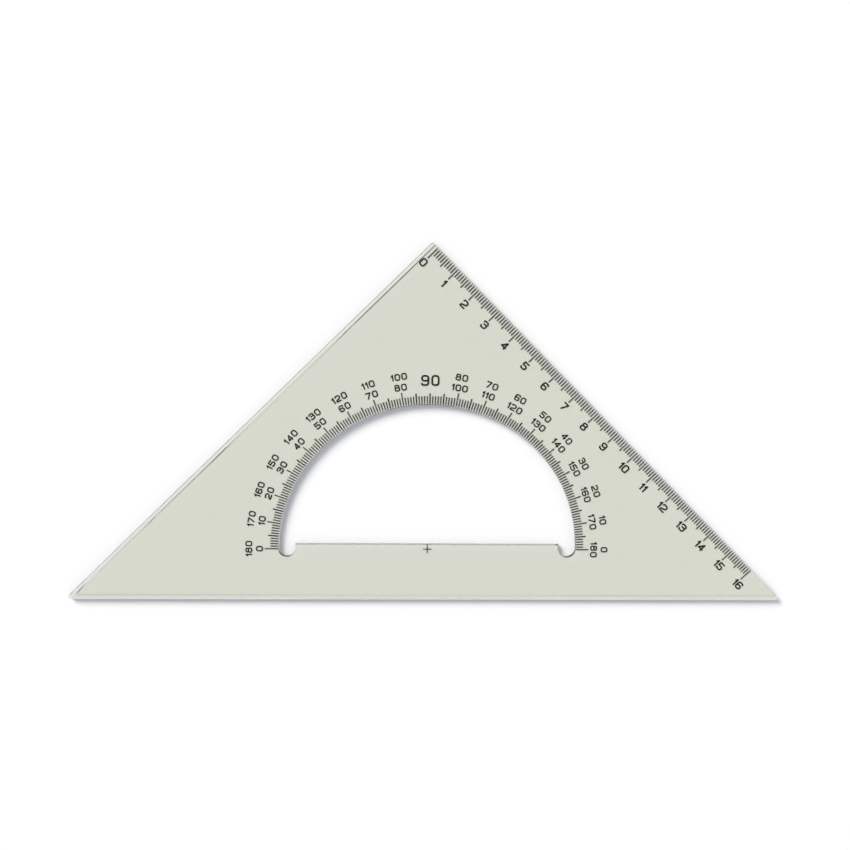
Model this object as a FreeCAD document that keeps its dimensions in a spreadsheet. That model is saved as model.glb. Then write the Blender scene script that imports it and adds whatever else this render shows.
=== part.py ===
import FreeCAD, Part
import math
import os

import Sketcher
from FreeCAD import Placement, Rotation, Vector

# A 45 degree set square: one clear plastic plate with a half-round protractor opening, a
# centimetre scale along its right-hand leg and a degree scale round the opening.  An ink
# step under the long edge and the left leg holds them clear of wet lines.  The marks are
# foil pressed into the underside, so that they lie on the paper and don't wear off, and
# each kind of mark is a piece of its own that fills its recesses flush with the face.
#
# Frame: millimetres, +Z up.  The plate lies flat on z = 0 with its long edge (the
# hypotenuse) towards -Y and its right angle towards +Y.  The origin is the bottom centre
# of the plate's box.

# ---------------------------------------------------------------------------------------
# Driving sizes
# ---------------------------------------------------------------------------------------

SIZES = [
    # the centimetre scale, which sets the length of the legs
    ("scale_length", 160.0, "zero mark to last mark"),
    ("scale_start", 2.7, "right-angle corner to the zero mark, along the leg"),
    ("scale_end", 15.4, "last mark to the sharp corner at the long edge"),
    ("leg_length", "=scale_start + scale_length + scale_end", "each short side"),
    # the plate
    ("plate_thickness", 2.5, "the sheet"),
    ("corner_radius", 0.7, "rounding of the three corners in plan"),
    ("edge_break", 0.15, "chamfer round the top face and the opening"),
    ("step_width", 1.2, "ink step along the long edge and the left leg"),
    ("step_height", 0.35, "clearance of the ink step above the paper"),
    ("step_slope", 0.3, "chamfer that slopes the ink step's inner side"),
    # the protractor opening
    ("centre_height", 18.1, "long edge to the protractor's centre line"),
    ("rim_to_leg", 24.25, "narrowest part of the plate, between the rim and a leg"),
    ("opening_radius", "=leg_length / 2 - centre_height / sqrt(2) - rim_to_leg", "rim of the opening"),
    ("bar_rise", 1.9, "centre line up to the straight side of the opening"),
    ("notch_radius", 3.0, "round notch at each end of the straight side"),
    ("notch_drop", 2.6, "centre line down to the bottom of a notch"),
    # the marks
    ("foil_depth", 0.05, "how deep the foil is pressed in"),
    ("line_width", 0.44, "every graduation line"),
    ("scale_margin", 0.4, "leg to the outer ends of the marks"),
    ("millimetre_mark", 2.65, "length of a millimetre mark"),
    ("half_mark", 3.6, "length of a five millimetre mark"),
    ("centimetre_mark", 4.65, "length of a centimetre mark"),
    ("scale_digit_height", 2.9, "height of the centimetre figures"),
    ("scale_digit_width", 2.3, "width of one centimetre figure"),
    ("scale_digit_stroke", 0.54, "line width of the centimetre figures"),
    ("scale_digit_space", 0.33, "gap between two figures of one number"),
    ("scale_digit_gap", 0.5, "centimetre mark to its figure"),
    ("scale_number_shift", 0.6, "how far the numbers from 10 up stand right of their marks"),
    # the degree scale
    ("degree_margin", 0.2, "rim to the inner ends of the marks"),
    ("degree_mark", 2.65, "length of a one degree mark"),
    ("five_degree_mark", 3.6, "length of a five degree mark"),
    ("ten_degree_mark", 4.55, "length of a ten degree mark"),
    ("degree_digit_height", 2.4, "height of the small degree figures"),
    ("degree_digit_width", 1.95, "width of one small degree figure"),
    ("degree_digit_stroke", 0.45, "line width of the small degree figures"),
    ("degree_digit_space", 0.4, "gap between two figures of one number"),
    ("degree_digit_gap", 0.65, "ten degree mark to the inner ring of figures"),
    ("degree_ring_gap", 1.3, "inner ring of figures to the outer ring"),
    ("right_angle_height", 3.8, "height of the large 90"),
    ("right_angle_width", 2.8, "width of one figure of the large 90"),
    ("right_angle_stroke", 0.6, "line width of the large 90"),
    ("right_angle_space", 0.7, "gap between the figures of the large 90"),
    ("right_angle_gap", 1.65, "reach of the ten degree marks to the large 90"),
    # the centre mark
    ("cross_width", 3.0, "centre cross, along the centre line"),
    ("cross_height", 2.8, "centre cross, across the centre line"),
    ("cross_line", 0.3, "line width of the cross"),
]

doc = FreeCAD.newDocument("set_square")
sheet = doc.addObject("Spreadsheet::Sheet", "sizes")
sheet.Label = "sizes"
for row, (alias, value, meaning) in enumerate(SIZES, start=1):
    sheet.set(f"A{row}", meaning)
    sheet.set(f"B{row}", str(value))
    sheet.setAlias(f"B{row}", alias)
doc.recompute()


def size(alias):
    """A driving size, read back from the sheet."""
    return float(getattr(sheet, alias))


# Lengths that follow from the driving sizes, as sheet expressions and as numbers.
HEIGHT = "(sizes.leg_length * cos(45) - sizes.corner_radius * (sqrt(2) - 1))"
CENTRE_Y = f"(sizes.centre_height - {HEIGHT} / 2)"
height = size("leg_length") / math.sqrt(2) - size("corner_radius") * (math.sqrt(2) - 1)
half_base = size("leg_length") / math.sqrt(2)
long_edge_y = -height / 2
apex_y = long_edge_y + half_base
centre_y = long_edge_y + size("centre_height")


def bind(target, **expressions):
    """Tie properties of an object to the sheet; __ in a name stands for a dot."""
    for name, expression in expressions.items():
        target.setExpression(name.replace("__", "."), expression)


# ---------------------------------------------------------------------------------------
# Sketches and bodies
# ---------------------------------------------------------------------------------------

def new_body(label):
    """An empty body that may hold marks that don't touch each other."""
    body = doc.addObject("PartDesign::Body", label)
    body.Label = label
    if hasattr(body, "AllowCompound"):
        body.AllowCompound = True
    return body


def new_sketch(body, name):
    """A sketch on the body's own ground plane."""
    sketch = body.newObject("Sketcher::SketchObject", name)
    planes = [plane for plane in body.Origin.OriginFeatures if plane.Role == "XY_Plane"]
    sketch.AttachmentSupport = [(planes[0], "")]
    sketch.MapMode = "FlatFace"
    return sketch


def closed_outline(sketch, corners):
    """Straight lines through the corners, joined end to end; returns their numbers."""
    lines = []
    for start, end in zip(corners, corners[1:] + corners[:1]):
        lines.append(sketch.addGeometry(Part.LineSegment(Vector(*start, 0), Vector(*end, 0))))
    for line, following in zip(lines, lines[1:] + lines[:1]):
        sketch.addConstraint(Sketcher.Constraint("Coincident", line, 2, following, 1))
    return lines


def measured(sketch, kind, *where, value, expression):
    """A dimension of the sketch that follows the sheet."""
    number = sketch.addConstraint(Sketcher.Constraint(kind, *where, value))
    sketch.setExpression(f"Constraints[{number}]", expression)


ORIGIN = (-1, 1)
Y_AXIS = -2
TIP_ANGLE = 45
OVERRUN = 1.0  # how far a cut runs out past the plate, mm


def mark_outline(sketch, middle_x, inner_y, outer_y, width):
    """The rectangle of one mark, as (value, expression) pairs, upright in the sketch."""
    left = middle_x[0] - width[0] / 2
    right = middle_x[0] + width[0] / 2
    corners = [(left, inner_y[0]), (right, inner_y[0]), (right, outer_y[0]), (left, outer_y[0])]
    lines = closed_outline(sketch, corners)
    for line, direction in zip(lines, ["Horizontal", "Vertical"] * 2):
        sketch.addConstraint(Sketcher.Constraint(direction, line))
    sides = [("DistanceX", left, f"{middle_x[1]} - {width[1]} / 2", lines[0], 1),
             ("DistanceX", right, f"{middle_x[1]} + {width[1]} / 2", lines[1], 1),
             ("DistanceY", inner_y[0], inner_y[1], lines[0], 1),
             ("DistanceY", outer_y[0], outer_y[1], lines[2], 1)]
    for kind, value, expression, line, point in sides:
        measured(sketch, kind, *ORIGIN, line, point, value=value, expression=expression)


def radial_mark(sketch, degrees, inner, length, width):
    """The rectangle of one mark that points away from the sketch's origin."""
    angle = math.radians(degrees)
    along = Vector(math.cos(angle), math.sin(angle), 0)
    across = Vector(-along.y, along.x, 0) * (width[0] / 2)
    near = along * inner[0]
    far = along * (inner[0] + length[0])
    corners = [near - across, far - across, far + across, near + across]
    lines = closed_outline(sketch, [(corner.x, corner.y) for corner in corners])
    for line, following in zip(lines[:3], lines[1:]):
        sketch.addConstraint(Sketcher.Constraint("Perpendicular", line, following))
    middle = sketch.addGeometry(Part.LineSegment(Vector(), near), True)
    sketch.addConstraint(Sketcher.Constraint("Coincident", middle, 1, *ORIGIN))
    sketch.addConstraint(Sketcher.Constraint("Symmetric", lines[3], 1, lines[3], 2, middle, 2))
    sketch.addConstraint(Sketcher.Constraint("Parallel", middle, lines[0]))
    measured(sketch, "Distance", middle, value=inner[0], expression=inner[1])
    measured(sketch, "Distance", lines[0], value=length[0], expression=length[1])
    measured(sketch, "Distance", lines[3], value=width[0], expression=width[1])
    if degrees == 0:
        sketch.addConstraint(Sketcher.Constraint("Horizontal", middle))
    else:
        sketch.addConstraint(Sketcher.Constraint("Angle", middle, angle))


def foil_pad(body, sketch):
    """Thickens a sketch of marks to the depth of the foil."""
    pad = body.newObject("PartDesign::Pad", f"{body.Name}_foil")
    pad.Profile = sketch
    pad.Length = size("foil_depth")
    bind(pad, Length="sizes.foil_depth")
    sketch.Visibility = False
    return pad


# ---------------------------------------------------------------------------------------
# The plate
# ---------------------------------------------------------------------------------------

def triangle_sketch(body):
    """The outline: a right-angled triangle with equal legs, its long edge towards -Y."""
    sketch = new_sketch(body, "triangle")
    corners = [(-half_base, long_edge_y), (half_base, long_edge_y), (0, apex_y)]
    base, right_leg, left_leg = closed_outline(sketch, corners)
    sketch.addConstraint(Sketcher.Constraint("Horizontal", base))
    sketch.addConstraint(Sketcher.Constraint("PointOnObject", right_leg, 2, Y_AXIS))
    sketch.addConstraint(Sketcher.Constraint("Equal", right_leg, left_leg))
    sketch.addConstraint(Sketcher.Constraint("Perpendicular", right_leg, left_leg))
    measured(sketch, "Distance", right_leg,
             value=size("leg_length"), expression="sizes.leg_length")
    measured(sketch, "DistanceY", base, 1, *ORIGIN, value=-long_edge_y, expression=f"{HEIGHT} / 2")
    return sketch


def step_sketch(body):
    """The ink step in plan: a band along the long edge and the left leg."""
    sketch = new_sketch(body, "ink_step_band")
    width = size("step_width")
    spread = 1 / math.tan(math.radians(TIP_ANGLE / 2))
    corners = [(half_base + OVERRUN, long_edge_y - OVERRUN),
               (half_base + OVERRUN, long_edge_y + width),
               (-half_base + width * spread, long_edge_y + width)]
    inner_top = apex_y + OVERRUN
    inner_top_x = corners[2][0] + inner_top - corners[2][1]
    reach = (width + OVERRUN) / math.sqrt(2)
    corners.append((inner_top_x, inner_top))
    corners.append((inner_top_x - reach, inner_top + reach))
    corners.append((-half_base - OVERRUN * spread, long_edge_y - OVERRUN))
    right_end, inner_base, inner_leg, top_end, outer_leg, outer_base = closed_outline(sketch, corners)

    sketch.addConstraint(Sketcher.Constraint("Vertical", right_end))
    sketch.addConstraint(Sketcher.Constraint("Horizontal", inner_base))
    sketch.addConstraint(Sketcher.Constraint("Horizontal", outer_base))
    sketch.addConstraint(Sketcher.Constraint("Angle", inner_leg, math.radians(TIP_ANGLE)))
    sketch.addConstraint(Sketcher.Constraint("Perpendicular", inner_leg, top_end))
    sketch.addConstraint(Sketcher.Constraint("Parallel", inner_leg, outer_leg))
    base = "sizes.leg_length * cos(45)"
    cotangent = f"tan({90 - TIP_ANGLE / 2})"
    places = [("DistanceX", right_end, f"{base} + {OVERRUN}"),
              ("DistanceY", right_end, f"-{HEIGHT} / 2 - {OVERRUN}"),
              ("DistanceY", inner_base, f"-{HEIGHT} / 2 + sizes.step_width"),
              ("DistanceX", inner_leg, f"-{base} + sizes.step_width * {cotangent}"),
              ("DistanceY", top_end, f"{base} - {HEIGHT} / 2 + {OVERRUN}"),
              ("DistanceX", outer_base, f"-{base} - {OVERRUN} * {cotangent}")]
    for kind, line, expression in places:
        corner = corners[line]
        measured(sketch, kind, *ORIGIN, line, 1,
                 value=corner[0] if kind == "DistanceX" else corner[1], expression=expression)
    return sketch


def opening_sketch(body):
    """The protractor opening: a straight side on the bar, a notch at each end, a round rim."""
    sketch = new_sketch(body, "opening")
    rim = size("opening_radius")
    notch = size("notch_radius")
    notch_y = notch - size("notch_drop")
    notch_x = math.sqrt((rim - notch) ** 2 - notch_y ** 2)
    side_x = notch_x - notch
    lean = math.atan2(notch_y, notch_x)
    middle = Vector(0, centre_y, 0)
    up = Vector(0, 0, 1)
    bar = centre_y + size("bar_rise")

    def arc(centre, radius, start, end):
        circle = Part.Circle(centre, up, radius)
        return sketch.addGeometry(Part.ArcOfCircle(circle, start, end))

    def line(start, end):
        return sketch.addGeometry(Part.LineSegment(Vector(*start, 0), Vector(*end, 0)))

    right_y = centre_y + notch_y
    straight = line((-side_x, bar), (side_x, bar))
    right_side = line((side_x, bar), (side_x, right_y))
    right_notch = arc(Vector(notch_x, right_y, 0), notch, math.pi, 2 * math.pi + lean)
    round_rim = arc(middle, rim, lean, math.pi - lean)
    left_notch = arc(Vector(-notch_x, right_y, 0), notch, math.pi - lean, 2 * math.pi)
    left_side = line((-side_x, right_y), (-side_x, bar))

    joints = [("Coincident", straight, 2, right_side, 1),
              ("Tangent", right_side, 2, right_notch, 1),
              ("Tangent", right_notch, 2, round_rim, 1),
              ("Tangent", round_rim, 2, left_notch, 1),
              ("Tangent", left_notch, 2, left_side, 1),
              ("Coincident", left_side, 2, straight, 1),
              ("Vertical", right_side),
              ("Vertical", left_side),
              ("Equal", right_notch, left_notch),
              ("PointOnObject", round_rim, 3, Y_AXIS),
              ("Symmetric", straight, 1, straight, 2, Y_AXIS)]
    for joint in joints:
        sketch.addConstraint(Sketcher.Constraint(*joint))
    measured(sketch, "Radius", round_rim, value=rim, expression="sizes.opening_radius")
    measured(sketch, "Radius", right_notch, value=notch, expression="sizes.notch_radius")
    measured(sketch, "DistanceY", round_rim, 3, straight, 1,
             value=size("bar_rise"), expression="sizes.bar_rise")
    measured(sketch, "DistanceY", round_rim, 3, right_notch, 3,
             value=notch_y, expression="sizes.notch_radius - sizes.notch_drop")
    measured(sketch, "DistanceY", round_rim, 3, *ORIGIN,
             value=-centre_y, expression=f"-{CENTRE_Y}")
    return sketch


def upright_edges(shape):
    """Names of the edges that stand square to the plate."""
    names = []
    for number, edge in enumerate(shape.Edges, start=1):
        box = edge.BoundBox
        if box.XLength < 1e-6 and box.YLength < 1e-6:
            names.append(f"Edge{number}")
    return names


def edges_at(shape, level, chosen):
    """Names of the level edges at one height whose middle passes a test."""
    names = []
    for number, edge in enumerate(shape.Edges, start=1):
        box = edge.BoundBox
        if box.ZLength > 1e-6 or abs(box.ZMin - level) > 1e-6:
            continue
        if chosen(edge.valueAt((edge.FirstParameter + edge.LastParameter) / 2)):
            names.append(f"Edge{number}")
    return names


def inside_outline(point):
    """True for a point that lies further in than the three sides."""
    from_base = point.y - long_edge_y
    from_right_leg = (apex_y - point.x - point.y) / math.sqrt(2)
    from_left_leg = (apex_y + point.x - point.y) / math.sqrt(2)
    return min(from_base, from_right_leg, from_left_leg) > size("step_width") / 2


def make_blank():
    """The moulded plate before the foil is pressed in."""
    body = new_body("plate_blank")
    outline = triangle_sketch(body)
    slab = body.newObject("PartDesign::Pad", "slab")
    slab.Profile = outline
    slab.Length = size("plate_thickness")
    bind(slab, Length="sizes.plate_thickness")
    doc.recompute()

    corners = body.newObject("PartDesign::Fillet", "corners")
    corners.Base = (slab, upright_edges(slab.Shape))
    corners.Radius = size("corner_radius")
    bind(corners, Radius="sizes.corner_radius")
    doc.recompute()

    step = body.newObject("PartDesign::Pocket", "ink_step")
    step.Profile = step_sketch(body)
    step.Length = size("step_height")
    step.Reversed = True
    bind(step, Length="sizes.step_height")
    doc.recompute()

    slope = body.newObject("PartDesign::Chamfer", "ink_step_slope")
    slope.Base = (step, edges_at(step.Shape, 0, inside_outline))
    slope.Size = size("step_slope")
    bind(slope, Size="sizes.step_slope")
    doc.recompute()

    cut = body.newObject("PartDesign::Pocket", "protractor_opening")
    cut.Profile = opening_sketch(body)
    cut.Type = 1  # through all
    cut.Midplane = True
    doc.recompute()

    # The drawing edges stay sharp at the paper, where a pencil runs along them.
    middle = Vector(0, centre_y, 0)
    rim = size("opening_radius") + size("edge_break")
    top_edges = edges_at(cut.Shape, size("plate_thickness"), lambda point: True)
    rim_edges = edges_at(cut.Shape, 0, lambda point: (point - middle).Length < rim)
    broken = body.newObject("PartDesign::Chamfer", "broken_edges")
    broken.Base = (cut, top_edges + rim_edges)
    broken.Size = size("edge_break")
    bind(broken, Size="sizes.edge_break")
    doc.recompute()
    body.Tip = broken
    return body


# ---------------------------------------------------------------------------------------
# The centimetre scale on the right-hand leg
# ---------------------------------------------------------------------------------------
# Its bodies have a frame of their own at the zero mark on the leg: x runs along the leg
# towards the right-hand corner and y points out of the plate, so marks have negative y.

LEG_TURN = -45.0
MILLIMETRES_PER_GROUP = 5
MILLIMETRES_PER_CENTIMETRE = 10


def on_leg():
    """Placement of the scale's frame."""
    turn = Rotation(Vector(0, 0, 1), LEG_TURN)
    corner = Vector(0, apex_y, 0)
    return Placement(corner + turn.multVec(Vector(size("scale_start"), 0, 0)), turn)


def place_on_leg(body):
    """Puts a body at the zero mark and keeps it there when the sizes change."""
    body.Placement = on_leg()
    apex = f"(sizes.leg_length * cos(45) - {HEIGHT} / 2)"
    bind(body, Placement__Base__x="sizes.scale_start * cos(45)",
         Placement__Base__y=f"{apex} - sizes.scale_start * sin(45)")


def scale_marks(label, length_alias, first, count_in_group, group_step, copies, copies_expression):
    """Marks of one length, drawn once and repeated along the leg."""
    body = new_body(label)
    sketch = new_sketch(body, f"{label}_sketch")
    margin = size("scale_margin")
    inner = (-margin - size(length_alias), f"-sizes.scale_margin - sizes.{length_alias}")
    outer = (-margin, "-sizes.scale_margin")
    for step in range(count_in_group):
        position = first + step
        mark_outline(sketch, (position, f"{position}"), inner, outer,
                     (size("line_width"), "sizes.line_width"))
    pad = foil_pad(body, sketch)
    pattern = body.newObject("PartDesign::LinearPattern", f"{label}_pattern")
    pattern.Originals = [pad]
    pattern.Direction = (sketch, ["H_Axis"])
    pattern.Length = group_step * (copies - 1)
    pattern.Occurrences = copies
    bind(pattern, Occurrences=copies_expression,
         Length=f"{group_step} * ({copies_expression} - 1)")
    body.Tip = pattern
    place_on_leg(body)
    doc.recompute()
    return body


def make_scale_marks():
    """Centimetre, five millimetre and millimetre marks."""
    length = size("scale_length")
    groups = round(length / MILLIMETRES_PER_GROUP)
    centimetres = round(length / MILLIMETRES_PER_CENTIMETRE)
    in_groups = f"round(sizes.scale_length / {MILLIMETRES_PER_GROUP})"
    in_centimetres = f"round(sizes.scale_length / {MILLIMETRES_PER_CENTIMETRE})"
    return [
        scale_marks("millimetre_marks", "millimetre_mark", 1, 4,
                    MILLIMETRES_PER_GROUP, groups, in_groups),
        scale_marks("half_centimetre_marks", "half_mark", 5, 1,
                    MILLIMETRES_PER_CENTIMETRE, centimetres, in_centimetres),
        scale_marks("centimetre_marks", "centimetre_mark", 0, 1,
                    MILLIMETRES_PER_CENTIMETRE, centimetres + 1, f"{in_centimetres} + 1"),
    ]


# ---------------------------------------------------------------------------------------
# The degree scale round the opening
# ---------------------------------------------------------------------------------------
# Its bodies have their frame at the protractor's centre.

HALF_TURN = 180
QUARTER_TURN = 90
NUMBER_STEP = 10

def degree_marks(label, length_alias, group, group_step, copies, single=None):
    """Marks of one length: a group repeated round the centre, and one more where asked."""
    body = new_body(label)
    inner = (size("opening_radius") + size("degree_margin"),
             "sizes.opening_radius + sizes.degree_margin")
    length = (size(length_alias), f"sizes.{length_alias}")
    width = (size("line_width"), "sizes.line_width")
    sketch = new_sketch(body, f"{label}_sketch")
    for degrees in group:
        radial_mark(sketch, degrees, inner, length, width)
    pad = foil_pad(body, sketch)
    pattern = body.newObject("PartDesign::PolarPattern", f"{label}_pattern")
    pattern.Originals = [pad]
    pattern.Axis = (sketch, ["N_Axis"])
    pattern.Angle = group_step * (copies - 1)
    pattern.Occurrences = copies
    body.Tip = pattern
    if single is not None:
        alone = new_sketch(body, f"{label}_single")
        radial_mark(alone, single, inner, length, width)
        body.Tip = foil_pad(body, alone)
    body.Placement = Placement(Vector(0, centre_y, 0), Rotation())
    bind(body, Placement__Base__y=CENTRE_Y)
    doc.recompute()
    return body


def make_degree_marks():
    """One, five and ten degree marks of a half circle; the 90 degree mark is a short one."""
    return [
        degree_marks("one_degree_marks", "degree_mark", [1, 2, 3, 4], 5, 36),
        degree_marks("five_degree_marks", "five_degree_mark", [5], 10, 18, single=QUARTER_TURN),
        degree_marks("ten_degree_marks", "ten_degree_mark", [0, 100], 10, 9),
    ]


def make_centre_cross():
    """The small cross on the bar that marks the protractor's centre."""
    body = new_body("centre_cross")
    sketch = new_sketch(body, "centre_cross_sketch")
    line = size("cross_line") / 2
    reach_x = size("cross_width") / 2
    reach_y = size("cross_height") / 2
    quarter = [(reach_x, -line), (reach_x, line), (line, line)]
    corners = quarter + [(line, reach_y), (-line, reach_y), (-line, line)]
    corners += [(-reach_x, line), (-reach_x, -line), (-line, -line)]
    corners += [(-line, -reach_y), (line, -reach_y), (line, -line)]
    edges = closed_outline(sketch, corners)
    for number, edge in enumerate(edges):
        direction = "Vertical" if number % 2 == 0 else "Horizontal"
        sketch.addConstraint(Sketcher.Constraint(direction, edge))
    reaches = [("DistanceX", 0, 1, 1), ("DistanceY", 3, 1, 1),
               ("DistanceX", 6, 1, -1), ("DistanceY", 9, 1, -1)]
    names = {"DistanceX": "cross_width", "DistanceY": "cross_height"}
    for kind, number, point, sign in reaches:
        measured(sketch, kind, *ORIGIN, edges[number], point,
                 value=sign * size(names[kind]) / 2, expression=f"{sign} * sizes.{names[kind]} / 2")
    sides = [("DistanceY", 0, 2, 1), ("DistanceY", 7, 2, -1), ("DistanceX", 3, 1, 1),
             ("DistanceX", 4, 1, -1), ("DistanceX", 9, 1, -1), ("DistanceX", 10, 1, 1),
             ("DistanceY", 5, 2, 1), ("DistanceY", 11, 2, -1)]
    for kind, number, point, sign in sides:
        measured(sketch, kind, *ORIGIN, edges[number], point,
                 value=sign * line, expression=f"{sign} * sizes.cross_line / 2")
    foil_pad(body, sketch)
    body.Placement = Placement(Vector(0, centre_y, 0), Rotation())
    bind(body, Placement__Base__y=CENTRE_Y)
    doc.recompute()
    return body


# ---------------------------------------------------------------------------------------
# Figures
# ---------------------------------------------------------------------------------------
# A plain drawing-office face: squarish figures drawn with a round pen.  Each stroke is a
# path of (x, y, rounding) points, as shares of the figure's width and height, where 0 and
# 1 are the middle of the pen at the edges of the figure.

ROUND = 0.36
SMALL_ROUND = 0.28
TIGHT = 0.2
ROUNDING_ASPECT = 0.74
WAIST = 0.5
HIGH_WAIST = 0.56
LOW_WAIST = 0.54
HOOK = 0.16
STEM = 0.72
FOUR_STEM = 0.77
BAR = 0.25
ONE_WIDTH = 0.46
ONE_FLAG = 0.26
SHOULDER = 0.06

SHUT = True
OPEN = False


def box_path(left, bottom, right, top, rounding):
    """A shut box with round corners."""
    corners = [(left, bottom), (right, bottom), (right, top), (left, top)]
    return (SHUT, [(x, y, rounding) for x, y in corners])


SIX = [box_path(0, 0, 1, LOW_WAIST, ROUND),
       (OPEN, [(0, WAIST / 2, 0), (0, 1, ROUND), (1, 1, TIGHT), (1, 1 - HOOK, 0)])]

FIGURES = {
    "0": [box_path(0, 0, 1, 1, ROUND)],
    "1": [(OPEN, [(0, 1 - ONE_FLAG, 0), (1, 1, 0), (1, 0, 0)])],
    "2": [(OPEN, [(0, 1 - HOOK, 0), (0, 1, TIGHT), (1, 1, ROUND), (1, WAIST, ROUND),
                  (0, BAR, TIGHT), (0, 0, 0), (1, 0, 0)])],
    "3": [(OPEN, [(0, 1 - HOOK, 0), (0, 1, TIGHT), (1, 1, ROUND), (1, HIGH_WAIST, TIGHT),
                  (1 - STEM, HIGH_WAIST, 0)]),
          (OPEN, [(1 - STEM, HIGH_WAIST, 0), (1, HIGH_WAIST, TIGHT), (1, 0, ROUND), (0, 0, TIGHT),
                  (0, HOOK, 0)])],
    "4": [(OPEN, [(FOUR_STEM, 1, 0), (0, BAR, 0), (1, BAR, 0)]),
          (OPEN, [(FOUR_STEM, 1, 0), (FOUR_STEM, 0, 0)])],
    "5": [(OPEN, [(1, 1, 0), (SHOULDER, 1, 0), (0, HIGH_WAIST, 0), (1, HIGH_WAIST, ROUND),
                  (1, 0, ROUND), (0, 0, TIGHT), (0, HOOK, 0)])],
    "6": SIX,
    "7": [(OPEN, [(0, 1, 0), (1, 1, 0), (1 - STEM, 0, 0)])],
    "8": [box_path(0, 0, 1, HIGH_WAIST, ROUND),
          box_path(SHOULDER, HIGH_WAIST, 1 - SHOULDER, 1, SMALL_ROUND)],
    "9": [(kind, [(1 - x, 1 - y, rounding) for x, y, rounding in path]) for kind, path in SIX],
}


def left_of(direction):
    """The unit vector square to a direction in plan, on its left."""
    return Vector(-direction.y, direction.x, 0).normalize()


def left_side(corners, shut, reach):
    """Edges beside a path of (corner, rounding), a pen's half width to its left."""
    count = len(corners)
    stops = []
    for number, (corner, rounding) in enumerate(corners):
        behind = (corner - corners[number - 1][0]).normalize()
        ahead = (corners[(number + 1) % count][0] - corner).normalize()
        if not shut and number in (0, count - 1):
            end = corner + left_of(ahead if number == 0 else behind) * reach
            stops.append((end, None, end))
            continue
        inwards = (ahead - behind).normalize()
        half_angle_sine = math.sin(ahead.getAngle(behind * -1) / 2)
        side = 1 if behind.cross(ahead).z > 0 else -1
        radius = rounding - side * reach
        if radius <= 0:
            corner_point = corner + inwards * (reach / half_angle_sine)
            stops.append((corner_point, None, corner_point))
            continue
        centre = corner + inwards * (rounding / half_angle_sine)
        stops.append((centre - left_of(behind) * (side * radius), centre - inwards * radius,
                      centre - left_of(ahead) * (side * radius)))
    edges = []
    for number, (start, middle, end) in enumerate(stops):
        if middle is not None:
            edges.append(Part.Arc(start, middle, end).toShape())
        if shut or number + 1 < count:
            following = stops[(number + 1) % count][0]
            edges.append(Part.LineSegment(end, following).toShape())
    return edges


def pen_stroke(path, shut, pen):
    """The flat face that a round pen leaves along a path."""
    reach = pen / 2
    back = path[::-1]
    if shut:
        outlines = [Part.Wire(left_side(back, SHUT, reach)), Part.Wire(left_side(path, SHUT, reach))]
        return Part.Face(outlines)
    edges = []
    for way in (path, back):
        last, end = way[-2][0], way[-1][0]
        onwards = (end - last).normalize()
        aside = left_of(onwards) * reach
        cap = Part.Arc(end + aside, end + onwards * reach, end - aside)
        edges += left_side(way, OPEN, reach) + [cap.toShape()]
    return Part.Face(Part.Wire(edges))


class FigureSet:
    """The ten figures at one size, as thin solids, and the numbers set with them."""

    def __init__(self, width, height, pen, space):
        self.width = width
        self.height = height
        self.pen = pen
        self.space = space
        self.solids = {name: self.cut_figure(name) for name in FIGURES}

    def width_of(self, name):
        """A one is narrower than the rest."""
        return self.width * ONE_WIDTH if name == "1" else self.width

    def cut_figure(self, name):
        """One figure, standing at the origin with its lower left corner."""
        reach_x = self.width_of(name) - self.pen
        reach_y = self.height - self.pen
        unit = min(self.width - self.pen, ROUNDING_ASPECT * reach_y)
        faces = []
        for shut, path in FIGURES[name]:
            corners = []
            for x, y, rounding in path:
                corner = Vector(self.pen / 2 + x * reach_x, self.pen / 2 + y * reach_y, 0)
                corners.append((corner, rounding * unit))
            faces.append(pen_stroke(corners, shut, self.pen))
        figure = faces[0]
        if len(faces) > 1:
            figure = figure.fuse(faces[1:]).removeSplitter()
        return figure.extrude(Vector(0, 0, size("foil_depth"))).Solids[0]

    def number(self, value, placement):
        """The solids of one number, centred on x = 0 and standing on y = 0."""
        names = str(value)
        total = sum(self.width_of(name) for name in names) + self.space * (len(names) - 1)
        at = -total / 2
        solids = []
        for name in names:
            solid = self.solids[name].copy()
            solid.Placement = placement * Placement(Vector(at, 0, 0), Rotation())
            solids.append(solid)
            at += self.width_of(name) + self.space
        return solids


def figures_piece(label, solids):
    """All numbers of one kind as one piece of separate solids."""
    piece = doc.addObject("Part::Feature", label)
    piece.Label = label
    piece.Shape = Part.makeCompound(solids)
    return piece


def make_centimetre_figures():
    """0, 1, 2 ... under the centimetre marks, their feet towards the middle of the plate."""
    figures = FigureSet(size("scale_digit_width"), size("scale_digit_height"),
                        size("scale_digit_stroke"), size("scale_digit_space"))
    top = size("scale_margin") + size("centimetre_mark") + size("scale_digit_gap")
    solids = []
    for centimetre in range(round(size("scale_length") / MILLIMETRES_PER_CENTIMETRE) + 1):
        shift = size("scale_number_shift") if centimetre >= 10 else 0
        along = centimetre * MILLIMETRES_PER_CENTIMETRE + shift
        foot = Vector(along, -top - figures.height, 0)
        solids += figures.number(centimetre, on_leg() * Placement(foot, Rotation()))
    return figures_piece("centimetre_figures", solids)


def on_ring(degrees, radius):
    """Placement with its foot on a circle round the protractor's centre, head outwards."""
    angle = math.radians(degrees)
    foot = Vector(radius * math.cos(angle), centre_y + radius * math.sin(angle), 0)
    return Placement(foot, Rotation(Vector(0, 0, 1), degrees - QUARTER_TURN))


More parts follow.
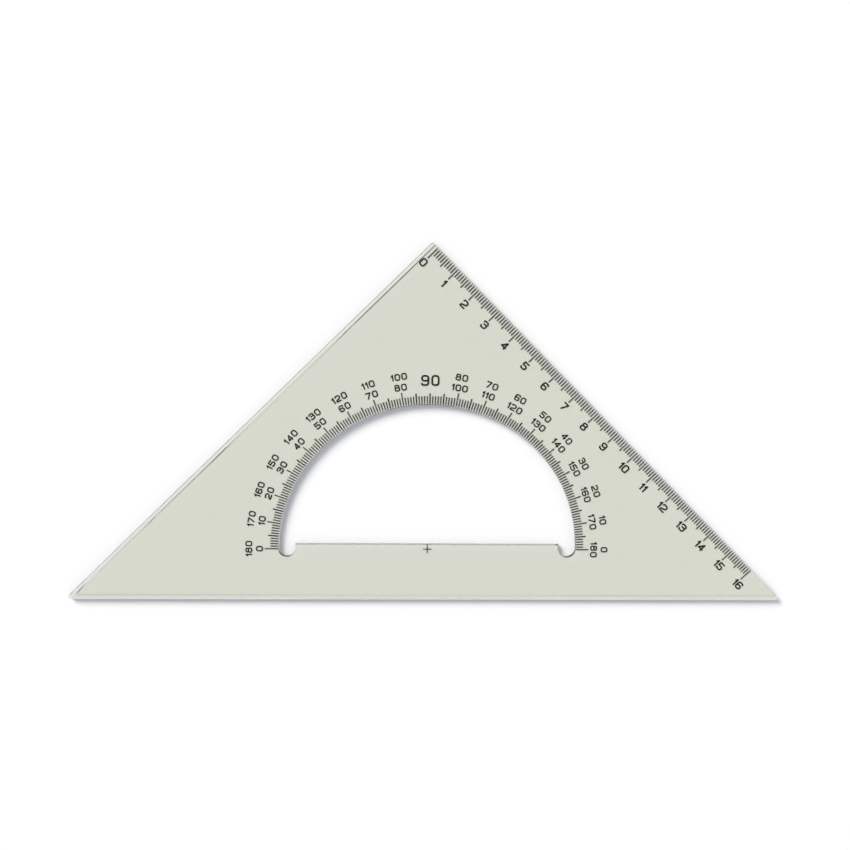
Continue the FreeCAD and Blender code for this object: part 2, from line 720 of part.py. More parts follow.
def make_degree_figures():
    """Two rings of small figures that count against each other, and the large 90."""
    mark_tips = size("opening_radius") + size("degree_margin") + size("ten_degree_mark")
    figures = FigureSet(size("degree_digit_width"), size("degree_digit_height"),
                        size("degree_digit_stroke"), size("degree_digit_space"))
    inner_foot = mark_tips + size("degree_digit_gap")
    outer_foot = inner_foot + figures.height + size("degree_ring_gap")
    inner = []
    outer = []
    for degrees in range(0, HALF_TURN + 1, NUMBER_STEP):
        if degrees == QUARTER_TURN:
            continue
        inner += figures.number(HALF_TURN - degrees, on_ring(degrees, inner_foot))
        outer += figures.number(degrees, on_ring(degrees, outer_foot))

    large = FigureSet(size("right_angle_width"), size("right_angle_height"),
                      size("right_angle_stroke"), size("right_angle_space"))
    ninety = large.number(QUARTER_TURN, on_ring(QUARTER_TURN, mark_tips + size("right_angle_gap")))
    return [figures_piece("inner_degree_figures", inner),
            figures_piece("outer_degree_figures", outer),
            figures_piece("right_angle_figure", ninety)]


# ---------------------------------------------------------------------------------------
# Putting it together
# ---------------------------------------------------------------------------------------

def press_marks(blank, marks):
    """The finished plate: the blank with a recess for every mark."""
    plate = doc.addObject("Part::Feature", "plate")
    plate.Label = "plate"
    plate.Shape = blank.Shape.cut(Part.makeCompound([mark.Shape for mark in marks]))
    return plate


def check_document():
    """Stops if any object of the document failed to build."""
    for item in doc.Objects:
        if "Invalid" in item.State or "Error" in item.State:
            raise RuntimeError(f"{item.Label} failed: {item.State}")


def write_pieces(pieces):
    """One STEP file for each piece, named after it."""
    os.makedirs("parts", exist_ok=True)
    for piece in pieces:
        shape = piece.Shape
        if shape.isNull() or not shape.isValid():
            raise RuntimeError(f"{piece.Label} has no valid shape")
        shape.exportStep(os.path.join("parts", f"{piece.Label}.step"))
        box = shape.BoundBox
        print(f"{piece.Label}: {len(shape.Solids)} solids, {shape.Volume:.3f} mm3, "
              f"{box.XLength:.2f} x {box.YLength:.2f} x {box.ZLength:.2f} mm")


blank = make_blank()
marks = make_scale_marks() + [make_centimetre_figures()] + make_degree_marks()
marks += make_degree_figures() + [make_centre_cross()]
plate = press_marks(blank, marks)
doc.recompute()
check_document()

foil_volume = sum(mark.Shape.Volume for mark in marks)
recess_volume = blank.Shape.Volume - plate.Shape.Volume
if abs(foil_volume - recess_volume) > foil_volume / 1000:
    raise RuntimeError("the recesses and the marks don't match")
write_pieces([plate] + marks)
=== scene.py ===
# %% [markdown]
# # A clear plastic set square
#
# The real thing is one flat plate of clear plastic, 2.5 mm thick, with black marks pressed
# into its underside.  Everything that can be seen comes from three things: how the plastic
# bends and tints the light, how its sides catch it, and how crisp the marks are.
# The plate's form comes ready made from the frame.  This lesson gives it its plastic, makes
# nearly all the marks of both scales with Geometry Nodes, inks the rest and lights the table.

import math

import bpy
from mathutils import Matrix, Vector


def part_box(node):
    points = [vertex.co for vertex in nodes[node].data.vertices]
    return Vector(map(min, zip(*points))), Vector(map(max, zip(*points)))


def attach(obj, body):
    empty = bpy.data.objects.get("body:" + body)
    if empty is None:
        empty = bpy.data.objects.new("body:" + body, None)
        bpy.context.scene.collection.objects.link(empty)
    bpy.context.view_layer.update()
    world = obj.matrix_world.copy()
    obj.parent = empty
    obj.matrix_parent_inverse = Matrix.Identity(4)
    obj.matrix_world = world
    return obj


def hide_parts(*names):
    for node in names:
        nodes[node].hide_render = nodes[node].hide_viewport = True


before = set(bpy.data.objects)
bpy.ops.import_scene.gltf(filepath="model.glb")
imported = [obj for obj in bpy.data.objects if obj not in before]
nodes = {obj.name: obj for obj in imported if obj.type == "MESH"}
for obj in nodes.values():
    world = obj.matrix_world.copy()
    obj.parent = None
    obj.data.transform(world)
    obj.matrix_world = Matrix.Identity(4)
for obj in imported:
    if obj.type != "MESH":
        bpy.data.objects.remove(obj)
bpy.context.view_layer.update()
scene = bpy.context.scene
scene.view_settings.view_transform = "Standard"
print("nodes:", ", ".join(sorted(nodes)))

# %% [markdown]
# ## Sizes
#
# All lengths are written in millimetres, as on a drawing, and turned to metres where a mesh
# is made.  The marks must lie in the recesses that the plate has for them, so the place of
# both scales is worked out from the plate's own box: its long edge is the lowest y.

# %% Sizes of the scales
MM = 0.001

LEG = 178.1  # each short side, to the sharp corner
CENTRE_HEIGHT = 18.1  # long edge to the protractor's centre line
OPENING_RADIUS = 52.0  # the plate's own is 0.0014 larger, which the foil's slack covers
LINE_WIDTH = 0.44
FOIL_DEPTH = 0.05
FOIL_SLACK = 0.004  # the foil is this much smaller than its recess, all round

lowest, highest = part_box("plate")
long_edge_y = lowest.y / MM
apex_y = long_edge_y + LEG / math.sqrt(2)
centre_y = long_edge_y + CENTRE_HEIGHT
print("plate", " x ".join(f"{side / MM:.2f}" for side in highest - lowest), "mm")
print(f"right angle at y = {apex_y:.2f} mm, protractor centre at y = {centre_y:.2f} mm")

# %% [markdown]
# ## The camera
#
# The square lies on a white table and is seen from above, a little from the side of its
# right angle.  A long lens keeps it almost free of perspective.  The camera stands where its
# matrix says: its columns are the camera's right, up and backward directions.

# %% Camera
IMAGE_WIDTH_PX = 850
SENSOR_MM = 36.0
FOCAL_PX = 1773.56
CAMERA_AXES = ((0.998824, -0.006500, -0.048051),
               (0.017106, 0.974496, 0.223751),
               (0.045371, -0.224310, 0.973461))
CAMERA_FROM_CENTRE = Vector((-30.92, 181.41, 596.06))  # mm, from the protractor's centre

camera_data = bpy.data.cameras.new("camera")
camera_data.sensor_width = SENSOR_MM
camera_data.lens = FOCAL_PX / IMAGE_WIDTH_PX * SENSOR_MM
camera = bpy.data.objects.new("camera", camera_data)
scene.collection.objects.link(camera)
camera_place = (CAMERA_FROM_CENTRE + Vector((0, centre_y, 0))) * MM
camera.matrix_world = Matrix.Translation(camera_place) @ Matrix(CAMERA_AXES).to_4x4()
scene.camera = camera
print(f"camera at {tuple(round(c, 4) for c in camera_place)} m, lens {camera_data.lens:.1f} mm")

# %% [markdown]
# ## Helpers for materials
#
# Colours are written as the hex values that a screen shows, and one function turns them into
# the linear numbers that the renderer works with.  One more function adds a node: it sets the
# node's own settings, fills its inputs and links what is another node's output.

# %% Colour and node helpers
def linear(hex_colour):
    """An sRGB hex colour as linear RGBA, opaque."""
    values = []
    for start in (1, 3, 5):
        share = int(hex_colour[start:start + 2], 16) / 255
        values.append(share / 12.92 if share <= 0.04045 else ((share + 0.055) / 1.055) ** 2.4)
    return (*values, 1.0)


def add_node(tree, kind, inputs=None, **settings):
    """A node with its settings; inputs are values, or outputs of other nodes to link."""
    node = tree.nodes.new(kind)
    for name, value in settings.items():  # such as a Math node's operation
        setattr(node, name, value)
    for socket, value in (inputs or {}).items():
        if isinstance(value, bpy.types.NodeSocket):
            tree.links.new(value, node.inputs[socket])
        else:
            node.inputs[socket].default_value = value
    return node


def new_material(name):
    """An empty node material and its tree."""
    material = bpy.data.materials.new(name)
    material.use_nodes = True
    material.node_tree.nodes.clear()
    return material, material.node_tree


WHITE = linear("#ffffff")
BELOW_ONE = 0.5  # tells a count of 0 from one of 1 or more
print("white is", WHITE[:3])

# %% [markdown]
# ## Light
#
# The light is a soft one from the upper left, with a pale room all round.  Both are painted
# on the world, because rays that bend through the plastic can find a bright patch of sky,
# while they hardly ever hit a lamp.  So the edges get their true dark and bright lines.
#
# The patch fades from its middle to its rim.  It is a touch warm and the room a touch cool,
# so that white stays white and a shadow turns bluish.

# %% The patch and the room
ROOM_STRENGTH = 0.42
ROOM_COLOUR = "#eff3ff"
PATCH_COLOUR = "#fffcf6"
PATCH_SHARE = 0.68  # what the patch alone gives a white sheet on the table, where 1 is white
PATCH_FADING = 2.0  # the power of its height above the rim with which the patch fades
PATCH_RADIUS = math.radians(22)
PATCH_ELEVATION = math.radians(37)
PATCH_AZIMUTH = math.radians(132)

patch_direction = Vector((math.cos(PATCH_ELEVATION) * math.cos(PATCH_AZIMUTH),
                          math.cos(PATCH_ELEVATION) * math.sin(PATCH_AZIMUTH),
                          math.sin(PATCH_ELEVATION)))
rim_cosine = math.cos(PATCH_RADIUS)
# A patch of strength 1 in its middle lights the sheet by this much.
patch_light = 2 / (PATCH_FADING + 1) * (1 - rim_cosine) * math.sin(PATCH_ELEVATION)
patch_strength = PATCH_SHARE / patch_light

world = bpy.data.worlds.new("pale_room")
world.use_nodes = True
room = world.node_tree
room.nodes.clear()
looking = add_node(room, "ShaderNodeTexCoord")
nearness = add_node(room, "ShaderNodeVectorMath", {0: looking.outputs["Generated"],
                                                   1: patch_direction}, operation="DOT_PRODUCT")
rise = add_node(room, "ShaderNodeMapRange", {"Value": nearness.outputs["Value"],
                                             "From Min": rim_cosine, "From Max": 1.0})
fading = add_node(room, "ShaderNodeMath", {0: rise.outputs[0], 1: PATCH_FADING},
                  operation="POWER")
brightness = add_node(room, "ShaderNodeMath", {0: fading.outputs[0], 1: patch_strength},
                      operation="MULTIPLY")
patch = add_node(room, "ShaderNodeBackground", {"Color": linear(PATCH_COLOUR),
                                                "Strength": brightness.outputs[0]})
walls = add_node(room, "ShaderNodeBackground", {"Color": linear(ROOM_COLOUR),
                                                "Strength": ROOM_STRENGTH})
light = add_node(room, "ShaderNodeAddShader", {0: patch.outputs[0], 1: walls.outputs[0]})
print(f"patch strength {patch_strength:.2f}, room {ROOM_STRENGTH}")

# %% [markdown]
# The camera sees the world as plain white, and so does a ray that comes to it through clear
# plastic without touching the table.  The patch and the room only light the square and the
# table, and show in the plastic's reflections.

# %% What the camera sees of the world
rays = add_node(room, "ShaderNodeLightPath")
untouched = add_node(room, "ShaderNodeMath", {0: rays.outputs["Diffuse Depth"], 1: BELOW_ONE},
                     operation="LESS_THAN")
through = add_node(room, "ShaderNodeMath", {0: rays.outputs["Is Transmission Ray"],
                                            1: untouched.outputs[0]}, operation="MULTIPLY")
seen = add_node(room, "ShaderNodeMath", {0: rays.outputs["Is Camera Ray"],
                                         1: through.outputs[0]}, operation="MAXIMUM")
shown = add_node(room, "ShaderNodeBackground", {"Color": WHITE, "Strength": 1.0})
both = add_node(room, "ShaderNodeMixShader", {0: seen.outputs[0], 1: light.outputs[0],
                                              2: shown.outputs[0]})
add_node(room, "ShaderNodeOutputWorld", {"Surface": both.outputs[0]})
scene.world = world
print("world:", world.name, "with", len(room.nodes), "nodes")

# %% [markdown]
# ## The table
#
# The table is a sheet of matt white paper.  It lies a hair below the plate, as real paper
# does, so that the plastic has a film of air under it.  To the camera it is pure white, and
# it is a little darker for the light that it throws back up at the plate.

# %% Table
TABLE_SIZE = 3.0  # metres
AIR_GAP = 0.1
PAPER_THROWING_BACK = "#e8e8e8"

paper, tree = new_material("matt_white_paper")
rays = add_node(tree, "ShaderNodeLightPath")
seen = add_node(tree, "ShaderNodeMath", {0: rays.outputs["Is Camera Ray"],
                                         1: rays.outputs["Is Transmission Ray"]},
                operation="MAXIMUM")
tone = add_node(tree, "ShaderNodeMix", {0: seen.outputs[0], 6: linear(PAPER_THROWING_BACK),
                                        7: WHITE}, data_type="RGBA")
sheet = add_node(tree, "ShaderNodeBsdfDiffuse", {"Color": tone.outputs[2]})
add_node(tree, "ShaderNodeOutputMaterial", {"Surface": sheet.outputs[0]})

half = TABLE_SIZE / 2
table_mesh = bpy.data.meshes.new("table")
level = -AIR_GAP * MM
table_mesh.from_pydata([(-half, -half, level), (half, -half, level), (half, half, level),
                        (-half, half, level)], [], [(0, 1, 2, 3)])
table_mesh.materials.append(paper)
table = bpy.data.objects.new("table", table_mesh)
scene.collection.objects.link(table)
print("table", table.dimensions[:])

# %% [markdown]
# ## The clear plastic
#
# The plate is moulded from clear styrene plastic.  Its faces are polished by the mould, with
# a very slight waviness, which a faint bump gives.  What the camera sees is bent as in real
# plastic, so the shader is a refracting one with the index of styrene.

# %% Moulded styrene
STYRENE_IOR = 1.55
STYRENE_ROUGHNESS = 0.02
WAVE_LENGTH = 9.0  # mm, the waviness of the mould
WAVE_HEIGHT = 0.02
WAVE_STRENGTH = 0.05

styrene, tree = new_material("moulded_clear_styrene")
place = add_node(tree, "ShaderNodeTexCoord")
waves = add_node(tree, "ShaderNodeTexNoise", {"Vector": place.outputs["Object"],
                                              "Scale": 1 / (WAVE_LENGTH * MM), "Detail": 1.0})
bump = add_node(tree, "ShaderNodeBump", {"Height": waves.outputs[0], "Strength": WAVE_STRENGTH,
                                         "Distance": WAVE_HEIGHT * MM})
plastic = add_node(tree, "ShaderNodeBsdfPrincipled",
                   {"Base Color": WHITE, "Roughness": STYRENE_ROUGHNESS, "IOR": STYRENE_IOR,
                    "Transmission Weight": 1.0, "Normal": bump.outputs[0]})
print("styrene: index", STYRENE_IOR)

# %% [markdown]
# The light that falls on the table and comes back from it takes a simpler way: for those rays
# the surface is transparent and only takes its share.  A flat face lets most of it pass.  A
# wall takes most of the light that enters by it, because so much of that runs on inside the
# plastic and comes out elsewhere, which is why a clear plate has such a dark rim to its shadow.

# %% How light for the table passes
FACE_PASSES = "#f0f0eb"
WALL_IN_PASSES = "#787d80"  # from outside into the plastic
WALL_OUT_PASSES = "#f0f0f0"

turned = add_node(tree, "ShaderNodeSeparateXYZ", {0: place.outputs["Normal"]})
upright = add_node(tree, "ShaderNodeMath", {0: turned.outputs["Z"]}, operation="ABSOLUTE")
side = add_node(tree, "ShaderNodeNewGeometry")
wall = add_node(tree, "ShaderNodeMix", {0: side.outputs["Backfacing"],
                                        6: linear(WALL_IN_PASSES),
                                        7: linear(WALL_OUT_PASSES)}, data_type="RGBA")
passed = add_node(tree, "ShaderNodeMix", {0: upright.outputs[0], 6: wall.outputs[2],
                                          7: linear(FACE_PASSES)}, data_type="RGBA")
straight = add_node(tree, "ShaderNodeBsdfTransparent", {"Color": passed.outputs[2]})
rays = add_node(tree, "ShaderNodeLightPath")
lighting = add_node(tree, "ShaderNodeMath", {0: rays.outputs["Is Shadow Ray"],
                                             1: rays.outputs["Is Diffuse Ray"]},
                    operation="MAXIMUM")
print("passed by a face:", [round(c, 2) for c in linear(FACE_PASSES)[:3]])

# %% [markdown]
# The bar is the strip of plate between the opening and the long edge.  Light runs along inside
# it by many reflections and leaves it again at the long edge.  The renderer follows four of
# them and then gives up, which would draw a dark line along the bar.  So in the bar a ray gets
# out after the second, by the same simple way.

# %% Rays that get out of the bar
BAR_RISE = 1.9  # mm, centre line up to the straight side of the opening
NOTCH_RADIUS = 3.0
BAR_HALF = OPENING_RADIUS - 2 * NOTCH_RADIUS  # the straight side runs from notch to notch
LAST_REFLECTION = 2

spot = add_node(tree, "ShaderNodeSeparateXYZ", {0: place.outputs["Object"]})
below = add_node(tree, "ShaderNodeMath", {0: spot.outputs["Y"], 1: (centre_y + BAR_RISE) * MM},
                 operation="LESS_THAN")
aside = add_node(tree, "ShaderNodeMath", {0: spot.outputs["X"]}, operation="ABSOLUTE")
between = add_node(tree, "ShaderNodeMath", {0: aside.outputs[0], 1: BAR_HALF * MM},
                   operation="LESS_THAN")
in_bar = add_node(tree, "ShaderNodeMath", {0: below.outputs[0], 1: between.outputs[0]},
                  operation="MULTIPLY")
piped = add_node(tree, "ShaderNodeMath", {0: rays.outputs["Glossy Depth"],
                                          1: LAST_REFLECTION - BELOW_ONE},
                 operation="GREATER_THAN")
freed = add_node(tree, "ShaderNodeMath", {0: in_bar.outputs[0], 1: piped.outputs[0]},
                 operation="MULTIPLY")
simple = add_node(tree, "ShaderNodeMath", {0: lighting.outputs[0], 1: freed.outputs[0]},
                  operation="MAXIMUM")
print(f"the bar reaches {BAR_HALF:.0f} mm to each side of the middle")

# %% [markdown]
# The plastic has a faint grey-green tint.  It belongs in the body of the plastic, so it is an
# absorbing volume: light that runs a long way inside, as it does behind an edge, comes out
# much darker than light that crosses the 2.5 mm sheet.

# %% The plastic on the plate
TINT = "#a3ae6d"
TINT_PER_METRE = 28.0

surface = add_node(tree, "ShaderNodeMixShader", {0: simple.outputs[0], 1: plastic.outputs[0],
                                                 2: straight.outputs[0]})
body = add_node(tree, "ShaderNodeVolumeAbsorption", {"Color": linear(TINT),
                                                     "Density": TINT_PER_METRE})
add_node(tree, "ShaderNodeOutputMaterial", {"Surface": surface.outputs[0],
                                            "Volume": body.outputs[0]})
plate = nodes["plate"]
plate.data.materials.clear()
plate.data.materials.append(styrene)
print("plate faces:", len(plate.data.polygons))

# %% [markdown]
# ## The black foil
#
# The marks are hot-stamping foil: a matt black layer pressed into the plastic with a heated
# die.  It is nearly black, a touch greyer where the die pressed less, and its surface is
# rough enough to show no reflection.

# %% Black foil
PRESS_MOTTLE = 0.35  # mm, size of the lighter and darker patches
PRESS_GRAIN = 0.005  # mm, height of the grain
GRAIN_STRENGTH = 0.2
FOIL_BLACK = "#020203"
FOIL_GREYER = "#0b0b0c"
FOIL_ROUGHNESS = 0.8
FOIL_IOR = 1.5

foil, tree = new_material("hot_stamped_black_foil")
place = add_node(tree, "ShaderNodeTexCoord")
mottle = add_node(tree, "ShaderNodeTexNoise", {"Vector": place.outputs["Object"],
                                               "Scale": 1 / (PRESS_MOTTLE * MM), "Detail": 2.0})
tone = add_node(tree, "ShaderNodeMix", {0: mottle.outputs[0], 6: linear(FOIL_BLACK),
                                        7: linear(FOIL_GREYER)}, data_type="RGBA")
grain = add_node(tree, "ShaderNodeBump", {"Height": mottle.outputs[0],
                                          "Strength": GRAIN_STRENGTH,
                                          "Distance": PRESS_GRAIN * MM})
black = add_node(tree, "ShaderNodeBsdfPrincipled",
                 {"Base Color": tone.outputs[2], "Roughness": FOIL_ROUGHNESS, "IOR": FOIL_IOR,
                  "Normal": grain.outputs[0]})
add_node(tree, "ShaderNodeOutputMaterial", {"Surface": black.outputs[0]})

for name in sorted(nodes):
    if name != "plate":
        nodes[name].data.materials.clear()
        nodes[name].data.materials.append(foil)
print("inked:", len(nodes) - 1, "nodes")

# %% [markdown]
# ## One mark, many times
#
# A scale is one small bar repeated: along a line on the leg, round a centre on the
# protractor.  That is what Geometry Nodes are for.  The bar is drawn as a rectangle with
# slightly rounded corners, as a heated die leaves it, filled and thickened.

# %% A tree and its bar
CORNER_SHARE = 0.2  # corner radius, as a share of the bar's width
MERGE_DISTANCE = 1e-6  # metres


def new_tree(name, inputs):
    """A Geometry Nodes tree with named inputs and one geometry output."""
    group = bpy.data.node_groups.new(name, "GeometryNodeTree")
    for label, kind, value in inputs:
        socket = group.interface.new_socket(label, in_out="INPUT", socket_type=kind)
        socket.default_value = value
    group.interface.new_socket("Marks", in_out="OUTPUT", socket_type="NodeSocketGeometry")
    return group, group.nodes.new("NodeGroupInput"), group.nodes.new("NodeGroupOutput")


def add_bar(group, length, width, depth):
    """A flat bar with rounded corners: x across, y along, its foot end at the origin."""
    outline = add_node(group, "GeometryNodeCurvePrimitiveQuadrilateral",
                       {"Width": width, "Height": length})
    rounded = add_node(group, "GeometryNodeFilletCurve", {"Curve": outline.outputs[0]})
    corner = add_node(group, "ShaderNodeMath", {0: width, 1: CORNER_SHARE}, operation="MULTIPLY")
    group.links.new(corner.outputs[0], rounded.inputs["Radius"])
    face = add_node(group, "GeometryNodeFillCurve", {0: rounded.outputs[0]})
    up = add_node(group, "ShaderNodeCombineXYZ", {"Z": depth})
    raised = add_node(group, "GeometryNodeExtrudeMesh",
                      {"Mesh": face.outputs[0], "Offset": up.outputs[0], "Offset Scale": 1.0,
                       "Individual": False})
    under = add_node(group, "GeometryNodeFlipFaces", {"Mesh": face.outputs[0]})
    whole = add_node(group, "GeometryNodeJoinGeometry")
    group.links.new(raised.outputs["Mesh"], whole.inputs[0])
    group.links.new(under.outputs[0], whole.inputs[0])
    merged = add_node(group, "GeometryNodeMergeByDistance", {"Geometry": whole.outputs[0],
                                                             "Distance": MERGE_DISTANCE})
    half_length = add_node(group, "ShaderNodeMath", {0: length, 1: 0.5}, operation="MULTIPLY")
    shift = add_node(group, "ShaderNodeCombineXYZ", {"Y": half_length.outputs[0]})
    moved = add_node(group, "GeometryNodeTransform", {"Geometry": merged.outputs[0],
                                                      "Translation": shift.outputs[0]})
    return moved.outputs[0]


BAR_INPUTS = [("Mark length", "NodeSocketFloat", 3 * MM),
              ("Mark width", "NodeSocketFloat", 0.3 * MM),
              ("Mark depth", "NodeSocketFloat", FOIL_DEPTH * MM)]
print("the bar's inputs:", [label for label, kind, value in BAR_INPUTS])

# %% [markdown]
# Every fifth millimetre and every fifth degree has a mark of another kind.  So a tree
# numbers its marks from First on and drops each one whose number divides by Drop every.
# Both trees share these steps, and also their last ones, which make the copies real, move
# them to their place and ink them.

# %% Steps that both trees share
def add_numbers(group, given):
    """Each mark's number on its scale, and whether a mark of another kind stands for it."""
    index = add_node(group, "GeometryNodeInputIndex")
    number = add_node(group, "ShaderNodeMath", {0: index.outputs[0],
                                                1: given.outputs["First"]}, operation="ADD")
    rest = add_node(group, "ShaderNodeMath", {0: number.outputs[0],
                                              1: given.outputs["Drop every"]},
                    operation="MODULO")
    no_rest = add_node(group, "ShaderNodeMath", {0: rest.outputs[0], 1: BELOW_ONE},
                       operation="LESS_THAN")
    dropping = add_node(group, "ShaderNodeMath", {0: given.outputs["Drop every"],
                                                  1: BELOW_ONE}, operation="GREATER_THAN")
    dropped = add_node(group, "ShaderNodeMath", {0: no_rest.outputs[0],
                                                 1: dropping.outputs[0]},
                       operation="MULTIPLY")
    return number.outputs[0], dropped.outputs[0]


def end_tree(group, given, result, copies, place):
    """Makes the copies real, moves them to their place and gives them their foil."""
    real = add_node(group, "GeometryNodeRealizeInstances", {0: copies})
    laid = add_node(group, "GeometryNodeTransform", {"Geometry": real.outputs[0], **place})
    inked = add_node(group, "GeometryNodeSetMaterial", {"Geometry": laid.outputs[0],
                                                        "Material": given.outputs["Foil"]})
    group.links.new(inked.outputs[0], result.inputs[0])


print("shared:", add_numbers.__name__, "and", end_tree.__name__)

# %% [markdown]
# The first tree lays marks along a straight line.  They all end at the same margin from the
# leg's edge and reach inwards from there, so a longer mark goes further in.

# %% A straight scale
def straight_scale_tree():
    """Marks along x at an even step; they lie on the side of -y."""
    inputs = [("First", "NodeSocketInt", 0), ("Step", "NodeSocketFloat", MM),
              ("Count", "NodeSocketInt", 10), ("Drop every", "NodeSocketInt", 0),
              ("Margin", "NodeSocketFloat", MM), *BAR_INPUTS,
              ("Zero mark", "NodeSocketVector", (0, 0, 0)), ("Turn", "NodeSocketFloat", 0.0),
              ("Foil", "NodeSocketMaterial", None)]
    group, given, result = new_tree("straight_scale", inputs)
    bar = add_bar(group, given.outputs["Mark length"], given.outputs["Mark width"],
                  given.outputs["Mark depth"])
    start = add_node(group, "ShaderNodeMath", {0: given.outputs["First"],
                                               1: given.outputs["Step"]}, operation="MULTIPLY")
    reach = add_node(group, "ShaderNodeMath", {0: given.outputs["Margin"],
                                               1: given.outputs["Mark length"]},
                     operation="ADD")
    low_end = add_node(group, "ShaderNodeMath", {0: reach.outputs[0], 1: -1.0},
                       operation="MULTIPLY")
    begin = add_node(group, "ShaderNodeCombineXYZ", {"X": start.outputs[0],
                                                     "Y": low_end.outputs[0]})
    stride = add_node(group, "ShaderNodeCombineXYZ", {"X": given.outputs["Step"]})
    row = add_node(group, "GeometryNodeMeshLine", {"Count": given.outputs["Count"],
                                                   "Start Location": begin.outputs[0],
                                                   "Offset": stride.outputs[0]}, mode="OFFSET")
    number, dropped = add_numbers(group, given)
    kept = add_node(group, "GeometryNodeDeleteGeometry", {"Geometry": row.outputs[0],
                                                          "Selection": dropped},
                    domain="POINT")
    bars = add_node(group, "GeometryNodeInstanceOnPoints", {"Points": kept.outputs[0],
                                                            "Instance": bar})
    turn = add_node(group, "ShaderNodeCombineXYZ", {"Z": given.outputs["Turn"]})
    end_tree(group, given, result, bars.outputs[0],
             {"Translation": given.outputs["Zero mark"], "Rotation": turn.outputs[0]})
    return group


straight_scale = straight_scale_tree()
print("straight scale:", len(straight_scale.nodes), "nodes")

# %% [markdown]
# The second tree turns the marks round a centre.  Each point's number gives its angle, and
# the bar is pushed out to the rim before it is turned.  The 90 degree mark is a short one on
# the real square, because the large 90 stands over it, so one number can be left out.

# %% A round scale
SAME_NUMBER = 0.1  # two whole numbers nearer than this are the same


def round_scale_tree():
    """Marks round a centre at an even angle; angle 0 is +x."""
    inputs = [("First", "NodeSocketInt", 0), ("Step", "NodeSocketFloat", math.radians(1)),
              ("Count", "NodeSocketInt", 10), ("Drop every", "NodeSocketInt", 0),
              ("Leave out", "NodeSocketInt", -1),
              ("Inner radius", "NodeSocketFloat", OPENING_RADIUS * MM),
              *BAR_INPUTS, ("Centre", "NodeSocketVector", (0, 0, 0)),
              ("Foil", "NodeSocketMaterial", None)]
    group, given, result = new_tree("round_scale", inputs)
    bar = add_bar(group, given.outputs["Mark length"], given.outputs["Mark width"],
                  given.outputs["Mark depth"])
    outwards = add_node(group, "ShaderNodeCombineXYZ", {"Y": given.outputs["Inner radius"]})
    pushed = add_node(group, "GeometryNodeTransform", {"Geometry": bar,
                                                       "Translation": outwards.outputs[0]})
    row = add_node(group, "GeometryNodeMeshLine", {"Count": given.outputs["Count"],
                                                   "Offset": (0, 0, 0)}, mode="OFFSET")
    number, dropped = add_numbers(group, given)
    named = add_node(group, "ShaderNodeMath", {0: number, 1: given.outputs["Leave out"],
                                               2: SAME_NUMBER}, operation="COMPARE")
    gone = add_node(group, "ShaderNodeMath", {0: dropped, 1: named.outputs[0]},
                    operation="MAXIMUM")
    angle = add_node(group, "ShaderNodeMath", {0: number, 1: given.outputs["Step"]},
                     operation="MULTIPLY")
    from_up = add_node(group, "ShaderNodeMath", {0: angle.outputs[0], 1: math.pi / 2},
                       operation="SUBTRACT")
    turn = add_node(group, "ShaderNodeCombineXYZ", {"Z": from_up.outputs[0]})
    bars = add_node(group, "GeometryNodeInstanceOnPoints", {"Points": row.outputs[0],
                                                            "Instance": pushed.outputs[0],
                                                            "Rotation": turn.outputs[0]})
    kept = add_node(group, "GeometryNodeDeleteGeometry", {"Geometry": bars.outputs[0],
                                                          "Selection": gone.outputs[0]},
                    domain="INSTANCE")
    end_tree(group, given, result, kept.outputs[0], {"Translation": given.outputs["Centre"]})
    return group


round_scale = round_scale_tree()
print("round scale:", len(round_scale.nodes), "nodes")

# %% [markdown]
# ## The kinds of mark
#
# Each kind of mark is one piece that takes the place of its plain counterpart in the frame.
# The five degree marks stay as the frame has them, because they hold the short 90 degree mark
# too and so follow no single step.
# The tree's inputs are set before anything is worked out, the result is kept as a plain mesh,
# and the modifier goes.

# %% Make the marks
def make_marks(name, node, tree, values):
    """Runs a tree once and keeps its result as a plain mesh that replaces a node."""
    holder = bpy.data.objects.new(name + "_holder", bpy.data.meshes.new(name + "_empty"))
    scene.collection.objects.link(holder)
    modifier = holder.modifiers.new("marks", "NODES")
    modifier.node_group = tree
    for item in tree.interface.items_tree:
        if item.in_out == "INPUT" and item.name in values:
            modifier[item.identifier] = values[item.name]
    evaluated = holder.evaluated_get(bpy.context.evaluated_depsgraph_get())
    mesh = bpy.data.meshes.new_from_object(evaluated)
    holder.modifiers.remove(modifier)
    bpy.data.objects.remove(holder)
    mesh.name = name
    piece = bpy.data.objects.new(name, mesh)
    scene.collection.objects.link(piece)
    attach(piece, "root")
    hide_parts(node)
    print(f"{name}: {len(mesh.polygons)} faces")


BAR = {"Mark width": (LINE_WIDTH - 2 * FOIL_SLACK) * MM,
       "Mark depth": (FOIL_DEPTH - FOIL_SLACK) * MM, "Foil": foil}

# %% [markdown]
# The leg's scale has three kinds of mark: millimetres, half centimetres and centimetres, each
# longer than the last.  They hang from a line just inside the leg's edge, and the half
# centimetres are a row of their own that starts 5 mm further on.

# %% Centimetre scale
SCALE_START = 2.7  # right angle to the zero mark, along the leg
SCALE_MARGIN = 0.4
SCALE_CENTIMETRES = 16
CENTIMETRE = 10
HALF_CENTIMETRE = 5
MILLIMETRE_MARK = 2.65
HALF_CENTIMETRE_MARK = 3.6
CENTIMETRE_MARK = 4.65
LEG_TURN = math.radians(-45)

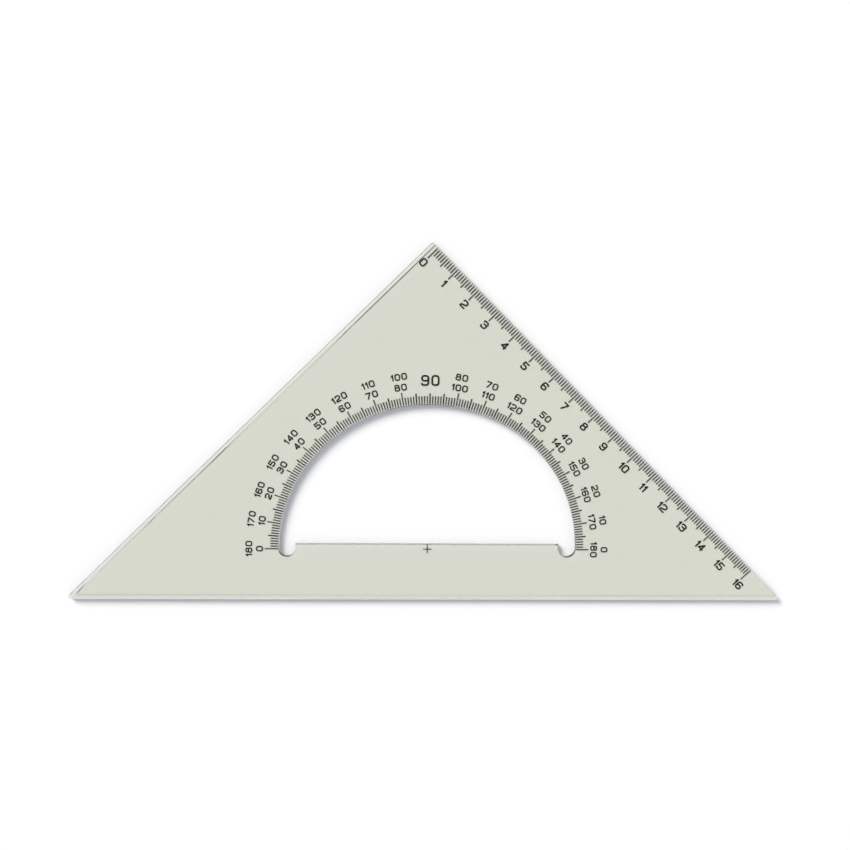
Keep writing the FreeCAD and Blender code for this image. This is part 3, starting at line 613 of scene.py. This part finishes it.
along_leg = Vector((math.cos(LEG_TURN), math.sin(LEG_TURN), 0))
zero_mark = Vector((0, apex_y, 0)) + along_leg * SCALE_START
leg = {**BAR, "Margin": (SCALE_MARGIN + FOIL_SLACK) * MM, "Turn": LEG_TURN, "First": 0}

for name, node, start, step, count, drop, length in [
        ("millimetre_lines", "millimetre_marks", 0, 1, CENTIMETRE * SCALE_CENTIMETRES,
         HALF_CENTIMETRE, MILLIMETRE_MARK),
        ("centimetre_lines", "centimetre_marks", 0, CENTIMETRE, SCALE_CENTIMETRES + 1,
         0, CENTIMETRE_MARK),
        ("half_centimetre_lines", "half_centimetre_marks", HALF_CENTIMETRE, CENTIMETRE,
         SCALE_CENTIMETRES, 0, HALF_CENTIMETRE_MARK)]:
    make_marks(name, node, straight_scale,
               {**leg, "Step": step * MM, "Count": count, "Drop every": drop,
                "Zero mark": tuple((zero_mark + along_leg * start) * MM),
                "Mark length": (length - 2 * FOIL_SLACK) * MM})

# %% [markdown]
# The protractor's marks stand out from the rim of the opening.  The short ones leave out every
# fifth degree, and the long ones leave out the one at 90 degrees.

# %% Degree scale
HALF_TURN = 180
TEN_DEGREES = 10
FIVE_DEGREES = 5
NOTHING = -1  # for Leave out: no mark has this number
DEGREE_MARGIN = 0.2
ONE_DEGREE_MARK = 2.65
TEN_DEGREE_MARK = 4.55

ring = {**BAR, "Inner radius": (OPENING_RADIUS + DEGREE_MARGIN + FOIL_SLACK) * MM,
        "Centre": (0, centre_y * MM, 0)}

for name, node, step, first, count, drop, leave_out, length in [
        ("one_degree_lines", "one_degree_marks", 1, 1, HALF_TURN - 1,
         FIVE_DEGREES, NOTHING, ONE_DEGREE_MARK),
        ("ten_degree_lines", "ten_degree_marks", TEN_DEGREES, 0, HALF_TURN // TEN_DEGREES + 1,
         0, HALF_TURN // 2 // TEN_DEGREES, TEN_DEGREE_MARK)]:
    make_marks(name, node, round_scale,
               {**ring, "First": first, "Step": math.radians(step), "Count": count,
                "Drop every": drop, "Leave out": leave_out,
                "Mark length": (length - 2 * FOIL_SLACK) * MM})
